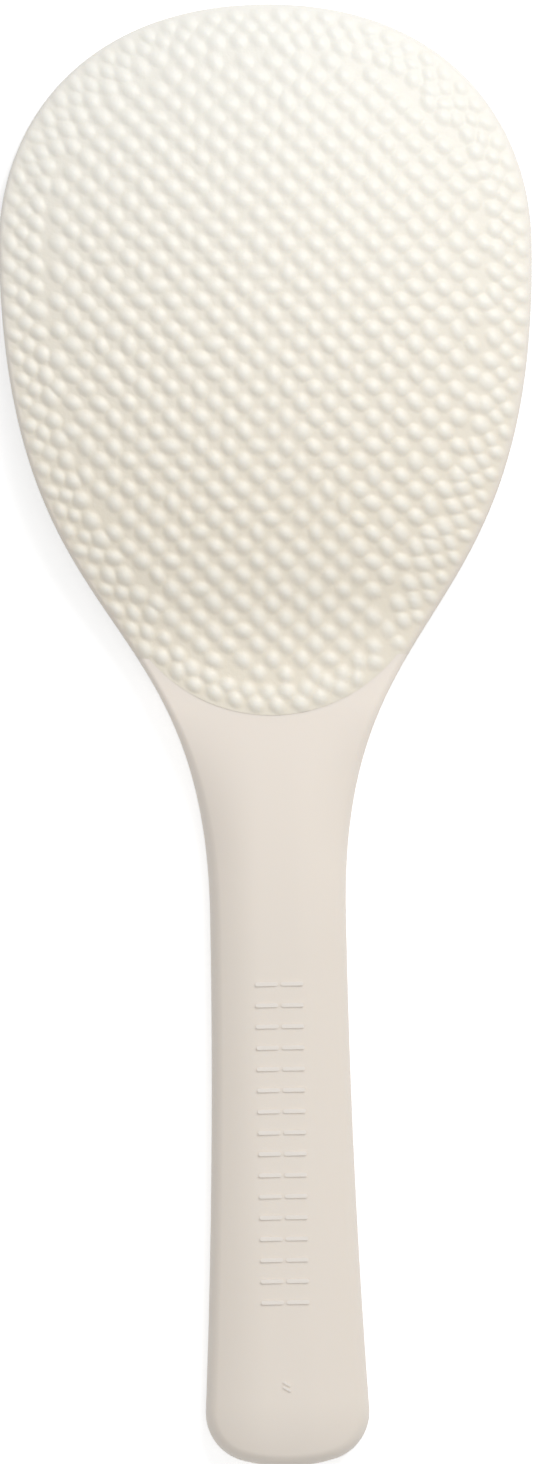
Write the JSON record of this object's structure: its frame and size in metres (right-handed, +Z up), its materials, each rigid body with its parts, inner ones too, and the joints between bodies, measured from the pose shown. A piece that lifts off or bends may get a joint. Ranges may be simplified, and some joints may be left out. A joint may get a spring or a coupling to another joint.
{
  "type": "rice_paddle",
  "caption": "Off-white moulded plastic rice paddle with a shallow domed blade covered in small studs on both faces and a flat waisted grip with a rounded end.",
  "frame": {"origin": "On the table under the middle of the paddle's length and width, with the paddle lying convex back up", "axes": "+Y towards the blade's tip, +Z up away from the table, +X across the blade to the right when seen from above with the tip away"},
  "size_m": [0.0728, 0.2, 0.0119],
  "materials": {
    "plastic": "satin"
  },
  "bodies": {
    "root": {"blade": "plastic", "handle": "plastic", "back_pips": "plastic", "front_pips": "plastic", "grip_marks": "plastic", "mould_mark": "plastic"}
  },
  "joints": []
}
